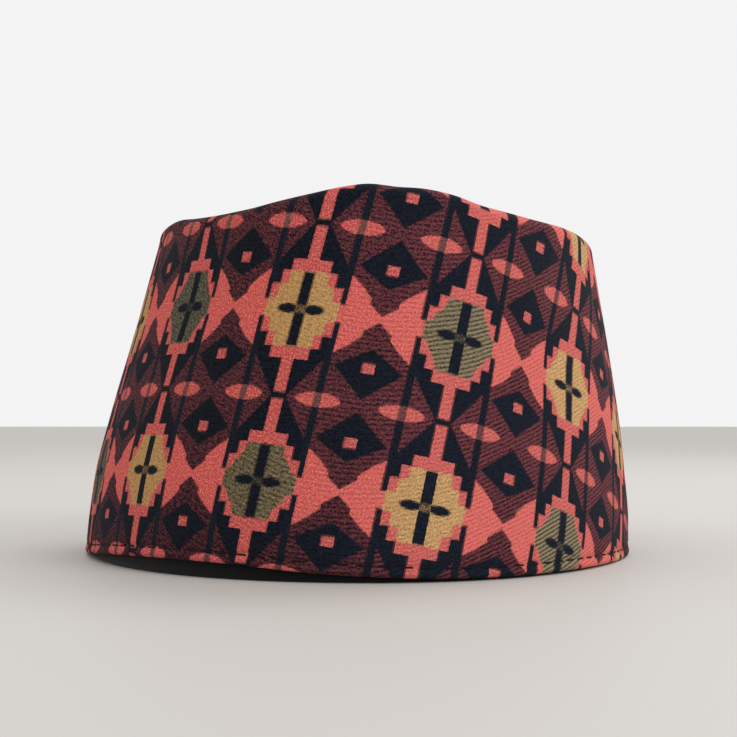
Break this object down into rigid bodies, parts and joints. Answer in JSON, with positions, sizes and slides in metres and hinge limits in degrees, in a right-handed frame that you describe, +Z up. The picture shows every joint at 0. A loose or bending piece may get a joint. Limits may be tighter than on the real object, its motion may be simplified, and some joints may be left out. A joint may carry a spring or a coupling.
{
  "type": "dhaka topi",
  "caption": "Brimless tapered oval cloth cap with a folded, front-peaked top edge, a recessed flat crown and a dark inner lining band.",
  "frame": {"origin": "middle of the hat's base, on the surface it stands on", "axes": "+Z up, the front with its peak faces -Y, +X is the viewer's right when facing the front"},
  "size_m": [0.1556, 0.2101, 0.0937],
  "materials": {
    "wall": "patterned woven cotton, coral, maroon, navy black, gold and olive",
    "crown": "the same patterned woven cotton",
    "lining": "plain black cotton lining"
  },
  "bodies": {
    "root": {"wall": "wall", "crown": "crown", "lining": "lining"}
  },
  "joints": []
}
